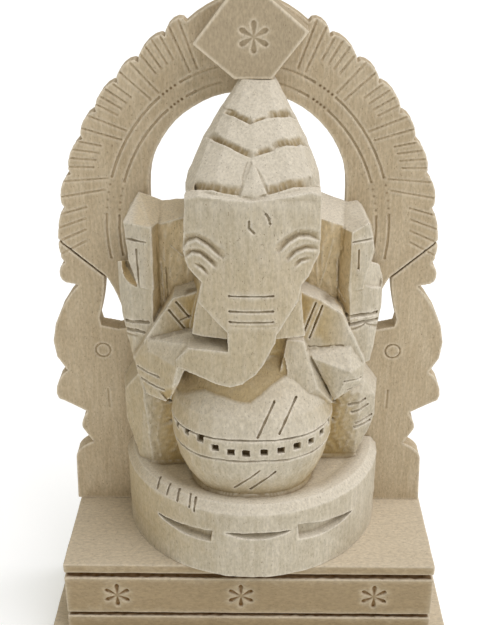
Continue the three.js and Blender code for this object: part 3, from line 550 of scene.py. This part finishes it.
def undercut(points, marks, line, width, ahead, roughness, seed):
    """Chops a slope down to a line with small teeth in it, and turns up the lip below the line. It paints
    shade on the slope, darkest at its foot, and a highlight on the lip.
    """
    ahead = np.array(ahead)
    near, distance, above, walked = follow(points, line, ahead, width + 1.5)
    past_end = np.sqrt(np.maximum(distance ** 2 - above ** 2, 0))
    wide = width * (1 + 0.15 * ripple(walked, seed))
    from_end = np.minimum(walked, walked.max() - walked)
    along = np.clip(1.2 - past_end / 0.4, 0, 1) * np.clip(from_end / 2.5 + 0.1, 0, 1)
    slope = np.clip(above / 0.3 + 0.3, 0, 1) * np.clip((wide - above) / 0.6, 0, 1) * along
    slope *= facing[near] @ ahead < -0.1
    lip = np.clip(1 - np.abs(above + 0.5) / 0.6, 0, 1) * along
    tooth = teeth(walked, 2.1, seed + 20)
    lower = np.clip(1 - above / wide, 0, 1)
    bite = 0.3 + roughness * (0.5 * tooth - 0.5)
    points[near] += np.outer(slope * lower * bite - 0.2 * lip, ahead)
    new_marks = {
        "chopped": slope * (0.25 + roughness * (0.4 + 0.25 * tooth)),
        "lip": lip,
        "band": above > -0.8,
        "dark": 0.75 * slope * np.clip(1 - above / 0.8, 0, 1),
    }
    for name, value in new_marks.items():
        marks[name][near] = np.maximum(marks[name][near], value)


marks = {name: np.zeros(len(points)) for name in ("chopped", "lip", "band", "dark")}
for number, (width, line) in enumerate(crown_bands):
    undercut(points, marks, [spot(*place) for place in line], width, INTO_CROWN, 1, number)

# Brows, eyelids and under-lids, as the width of the slope and [x, height] places on the round of the face.
FACE_RADIUS = 49.7
eye_layers = [
    (2.6, [(-22.2, 130.4), (-20.6, 132.8), (-17.8, 134.2), (-14, 132.2), (-9.2, 128.2)]),
    (2.6, [(8.7, 130.4), (12, 133.8), (15.2, 135.4), (18.6, 135), (22, 133)]),
    (1.9, [(-21.6, 127), (-19.4, 129.2), (-16.6, 129.2), (-13.6, 126.8), (-11.6, 124.8)]),
    (1.9, [(11.6, 127.4), (14.4, 130), (17.6, 130.9), (21.6, 129.9)]),
    (1.3, [(-18.9, 125.4), (-16.4, 124.2), (-14.2, 122)]),
    (1.3, [(14, 124.8), (16.2, 126.8), (19.6, 127)]),
]
for number, (width, line) in enumerate(eye_layers):
    places = [spot(x, np.sqrt(FACE_RADIUS ** 2 - x * x), height) for x, height in line]
    undercut(points, marks, places, width, INTO_WOOD, 0.15, number + 50)
chopped, dark = marks["chopped"], marks["dark"]

# Single strokes: line, width, depth and how ragged it is. A depth under 0 is a standing splinter.
strokes = [
    ([(-34.2, 20, 126.4), (-33.2, 19.5, 116.6), (-33, 19.5, 100.3)], 1, 0.5, 0.3),
    ([(-32.2, 19.5, 115.1), (-31.4, 19.5, 99.5)], 0.9, -0.7, 0.4),
    ([(-30.6, 19.5, 113), (-30.2, 19.5, 99)], 0.8, 0.6, 0.4),
    ([(-28.6, 19.5, 121.3), (-24.4, 19.5, 117.6)], 0.8, -0.5, 0.3),
    ([(32.2, 19.5, 128.6), (31.9, 19.5, 121.1), (30.7, 19.5, 116.1), (30.8, 19.5, 108.4),
      (30.6, 19.5, 97.5)], 1, 0.5, 0.3),
    ([(30, 19.5, 116.5), (30.3, 19.5, 108.3)], 0.9, -0.7, 0.4),
    ([(30.3, 19.8, 105.7), (33, 22, 101.6)], 0.9, -0.7, 0.3),
    ([(28.4, 19.5, 123.6), (26.6, 19.5, 115.3), (23.7, 19.5, 104.5)], 1, -0.35, 0.3),
    ([(-23.2, 28.1, 107.1), (-21.6, 28.5, 107.7), (-19.2, 29.7, 108.5)], 0.9, 0.7, 0.2),
    ([(-25.3, 30, 97.2), (-23.5, 30, 98), (-21.3, 30.7, 99.1)], 0.8, 0.6, 0.2),
    ([(25.9, 25.2, 104.1), (28.1, 23.8, 102.5)], 0.8, 0.5, 0.2),
    ([(34.2, 26, 91.6), (37.7, 25, 92), (40.7, 23.6, 93), (45.4, 20.3, 91)], 0.9, 0.6, 0.6),
    ([(37.6, 25, 95.6), (40.9, 23.3, 95.9), (44.4, 21.1, 95)], 1.2, -0.45, 0.6),
    ([(-45.2, 21, 87.7), (-42, 23.4, 87.7)], 0.9, 0.5, 0.7),
    ([(-46, 20, 92.5), (-40.9, 24, 93.6), (-36.6, 25.8, 94)], 0.9, 0.35, 0.3),
    ([(-45.8, 20.3, 89.2), (-41.8, 23.5, 90), (-38.4, 25, 89.7)], 1, 0.35, 0.4),
    ([(33.8, 25.5, 96.9), (38, 24.4, 97), (45.2, 20, 96.2)], 1, 0.4, 0.5),
    ([(34.4, 25.5, 93.8), (39.6, 23.6, 94), (45.4, 19.6, 93.5)], 1, 0.4, 0.5),
    ([(-1.4, 37.9, 157.3), (-2, 39.5, 155.8), (-2.7, 41.6, 153.8), (-2.9, 43.7, 151.8),
      (-3.6, 44.9, 149.9)], 0.7, 0.35, 0.3),
    ([(0.2, 37.8, 157.6), (1.5, 39.1, 156.4), (2.9, 40.6, 154.8), (4.2, 42.4, 153.1), (5.2, 43.8, 151.3),
      (5.6, 44.4, 149.8)], 1.1, -0.45, 0.1),
    ([(-9.6, 17.4, 170), (-6.6, 21.5, 169.9)], 0.7, 0.4, 0.2),
    ([(19.6, 31, 87.1), (23.6, 30, 86.9), (27.9, 30, 87.3), (32.5, 30, 87.6)], 0.9, 0.6, 0.8),
    ([(-35.4, 30.3, 90.4), (-30.7, 30.6, 91.7), (-26.1, 30, 93), (-21.7, 31.1, 94.4)], 0.8, 0.4, 0.7),
    ([(3.8, 49.8, 144.8), (4.8, 49.7, 143.6), (5.6, 49.6, 141.6)], 0.6, 0.3, 0.4),
]
for number, (line, width, bite, ragged) in enumerate(strokes):
    score(points, dark, [spot(*place) for place in line], width, bite, rough=ragged, seed=number)


# The belly is a superellipse round an upright axis at this depth.
BELLY_AXIS = 17.5


def belly_ring(rise, half_width, front, steps, first, last):
    """Places round the belly, from the viewer's left to right. The rise gives the height at each."""
    ring = []
    for step in range(steps + 1):
        turn = pi * (1 - first - (last - first) * step / steps)
        x_share, y_share = cos(turn), sin(turn)
        across = half_width * np.sign(x_share) * abs(x_share) ** 0.8
        ring.append(spot(across, BELLY_AXIS + (front - BELLY_AXIS) * y_share ** 0.8, rise(x_share)))
    return ring


belt_top = belly_ring(lambda share: BELT_TOP, 30.4, 47.8, 24, 0.15, 0.85)
belt_foot = belly_ring(lambda share: BELT_FOOT + 0.35 * sin(15 * share), 30, 47.4, 24, 0.16, 0.8)
for ring, depth_mm in ((belt_top, 0.5), (belt_foot, 0.45)):
    for start, end in zip(ring, ring[1:]):
        inward = (-(start[0] + end[0]) / 2 + FIGURE_X, BOARD_FRONT - BELLY_AXIS - (start[1] + end[1]) / 2, 0)
        score(points, dark, [start, end], 0.8, depth_mm, inward)
x, depth, height = points[:, 0] - FIGURE_X, BOARD_FRONT - points[:, 1], points[:, 2] - BASE_TOP
# What lies well below the belly's round surface on the belt is in a hole, and is painted dark as shade.
swell = (np.abs(x / 30.2) ** 2.5 + np.abs((depth - BELLY_AXIS) / 30.1) ** 2.5) ** 0.4
below_belt = np.clip((1 - swell) * 30 - 0.7, 0, 1) * within(height, 50, 59, 0.5)
dark = np.maximum(dark, below_belt * (depth > BELLY_AXIS) * (swell > 0.8))

# The top of the forehead is rounded over, and the seat is dished round the belly.
forehead = [spot(x, np.sqrt(FACE_RADIUS ** 2 - x * x), 149 - 0.004 * x * x) for x in range(-20, 21, 4)]
OVER_EDGE = (0, 0.7, -0.7)
EDGE_WEAR = 0.9
SEAT_DISH = 1.3
near, distance, _, _ = follow(points, forehead, OVER_EDGE, 5)
points[near] += np.outer(EDGE_WEAR * np.clip(1 - distance / 3.2, 0, 1) ** 1.5, OVER_EDGE)
level = np.clip(facing[:, 2] * 4 - 3, 0, 1)
on_seat = within(height, 29, 33, 1) * level * np.clip((open_left - 5) / 5, 0, 1)
points[:, 2] -= SEAT_DISH * on_seat

# Shallow scoops of the gouge cover the whole figure.
scoops = undulation(points, 9, 11) * 0.1 + undulation(points, 4.5, 12) * 0.07
move_out(figure, points, scoops)
points = points_of(figure)
facing = normals_of(figure)
x, depth, height = points[:, 0] - FIGURE_X, BOARD_FRONT - points[:, 1], points[:, 2] - BASE_TOP

# A warm yellow shade is painted on: the more a face lies below the block's round outside, on faces to the
# viewer's left, away from the light, on the trunk and on the seat. The chest beside the trunk stays pale.
chest = 0.8 * within(x, 11, 26) * within(height, 66, 92)
deep = np.clip((open_left - 4) / 9, 0, 1) * np.clip(1.2 - 1.5 * facing[:, 2], 0, 1)
deep *= np.clip((138 - height) / 6, 0, 1) * (1 - 0.6 * ears) * (1 - chest)
deep = np.maximum(deep, 0.6 * np.clip(-1.6 * facing[:, 0] - 0.3, 0, 1) * within(height, -5, 100, 15))
deep = np.maximum(deep, 0.32 * within(height, 60, 150, 28) * within(depth, 34, 60) * (np.abs(x) < 24))
deep = np.maximum(deep, 0.5 * on_seat)

# Under the trunk the wood over the belly's upper edge is cut a step deeper, and the step is painted with warm
# shade.
UNDER_TRUNK_REACH = 9
UNDER_TRUNK_STEP = 0.7
belly_brow = [(-26, 31, 67.5), (-21, 34.5, 70.8), (-16.6, 37, 72.6), (-9.3, 40.1, 71.4), (-4, 41.3, 70.2),
              (-0.1, 42, 70.2), (3.4, 40.5, 72.4), (6.9, 38.6, 75), (11.9, 35.7, 77.4)]
brow_places = [spot(*place) for place in belly_brow]
near, distance, above, _ = follow(points, brow_places, INTO_WOOD, UNDER_TRUNK_REACH)
under_trunk = np.clip(above / 0.7, 0, 1) * np.clip((UNDER_TRUNK_REACH - distance) / 2, 0, 1)
under_trunk *= distance - np.abs(above) < 0.6
points[near, 1] += UNDER_TRUNK_STEP * under_trunk
move_out(figure, points, np.zeros(len(points)))
deep[near] = np.maximum(deep[near], 0.85 * under_trunk)
store(figure, "deep", deep)

# Pale painted light where shade would fall: on the ears, the walls beside them, the hollow by the left thumb
# and the broken hand's top.
walls = within(height, 96, 130) * (np.abs(facing[:, 0]) > 0.6)
walls = walls * within(np.abs(x), 26, 40, 1) * within(depth, 4, 28)
thumb_hollow = within(-x, 40, 48, 0.5) * within(height, 105.5, 116, 1) * within(depth, 8, 24)
thumb_hollow *= facing[:, 1] > -0.5
torn_top = within(x, -42, -23) * within(height, 129, 140, 1) * np.clip(3 * facing[:, 2] - 1, 0, 1)
fill_light = np.max([0.7 * ears, 0.6 * walls, 0.9 * thumb_hollow, 0.5 * torn_top], axis=0)
store(figure, "fill_light", fill_light)
# Faces that look up are painted lighter, as light from above, except where warm shade is painted.
store(figure, "upturned", 0.85 * facing[:, 2] * (1 - deep))
store(figure, "chopped", chopped)

# Creases are painted brown as shade, but paler in the cut bands, on legs and forehead and where the copy is
# filled.
relief = hollows(figure, points, 10)
forehead_marks = within(np.abs(x), -1, 9) * within(height, 134, 147) * (depth > 40)
pale_creases = np.max([0.7 * marks["band"], thumb_hollow, 0.7 * legs, 0.5 * forehead_marks, mended], axis=0)
# The belly meets the seat in a gap with torn edges, painted dark as shade, raggedly and most across the
# middle.
foot_shade = within(height, 29, 32, 0.4) * np.clip(1.5 - 2.5 * facing[:, 2], 0, 1) * (open_left > 6)
torn = np.clip(0.75 + 0.5 * undulation(points, 5, 31), 0, 1)
dark = np.maximum(dark, foot_shade * (0.3 + 0.6 * torn * within(x, -19, 16, 4)))
store(figure, "crease", np.maximum(relief / 0.65 * (1 - pale_creases), 0.9 * dark))
# Convex edges and the lips below the cut slopes are painted lighter as highlights, except where shade is
# painted.
store(figure, "edge", np.maximum(-relief / 0.25 * 0.6, 0.7 * marks["lip"]) * (1 - dark))
thin_out(figure, FIGURE_FACES)
figure.data.materials.append(knife_cut_wood)
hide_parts("ganesha_figure")
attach(figure, "root")

# Stage: a white floor, one large soft light from the upper right, and a bright room round it.

bpy.ops.mesh.primitive_plane_add(size=6, location=(0, 0, 0))
floor = bpy.context.object
floor.name = "floor"
# White paper under and behind the carving: it has no texture and sends soft light back up.
paper = bpy.data.materials.new("white paper")
paper.use_nodes = True
paper_shader = paper.node_tree.nodes["Principled BSDF"]
paper_shader.inputs["Base Color"].default_value = linear("#FDFDFD")
paper_shader.inputs["Roughness"].default_value = 0.9
paper_shader.inputs["Emission Color"].default_value = (0.85, 0.95, 1, 1)
paper_shader.inputs["Emission Strength"].default_value = 0.26
floor.data.materials.append(paper)

LIGHT_RUNS = (-0.58, 0.24, -0.85)
lamp = bpy.data.lights.new("soft window light", "SUN")
lamp.energy = 1.75
lamp.angle = radians(60)
lamp.color = (1, 0.99, 1.05)
window_light = bpy.data.objects.new("soft window light", lamp)
bpy.context.scene.collection.objects.link(window_light)
window_light.rotation_euler = Vector(LIGHT_RUNS).to_track_quat("-Z", "Y").to_euler()
world = bpy.data.worlds.new("room")
world.use_nodes = True
background = world.node_tree.nodes["Background"]
background.inputs["Color"].default_value = (1, 0.95, 0.86, 1)
background.inputs["Strength"].default_value = 0.52
bpy.context.scene.world = world
bpy.context.scene.view_settings.view_transform = "Standard"

# Camera: a little above the crown and looking down on it, as in the photograph.

CAMERA_MM = (3.8, -328.9, 293.4)
TILT_DOWN = 25.2
TURN_LEFT = 0.61
FOCAL_MM = 58.2

camera = bpy.data.objects.new("camera", bpy.data.cameras.new("camera"))
bpy.context.scene.collection.objects.link(camera)
camera.location = [value * MM for value in CAMERA_MM]
camera.rotation_euler = (radians(90 - TILT_DOWN), 0, radians(TURN_LEFT))
camera.data.lens = FOCAL_MM
camera.data.clip_start = 0.01
bpy.context.scene.camera = camera
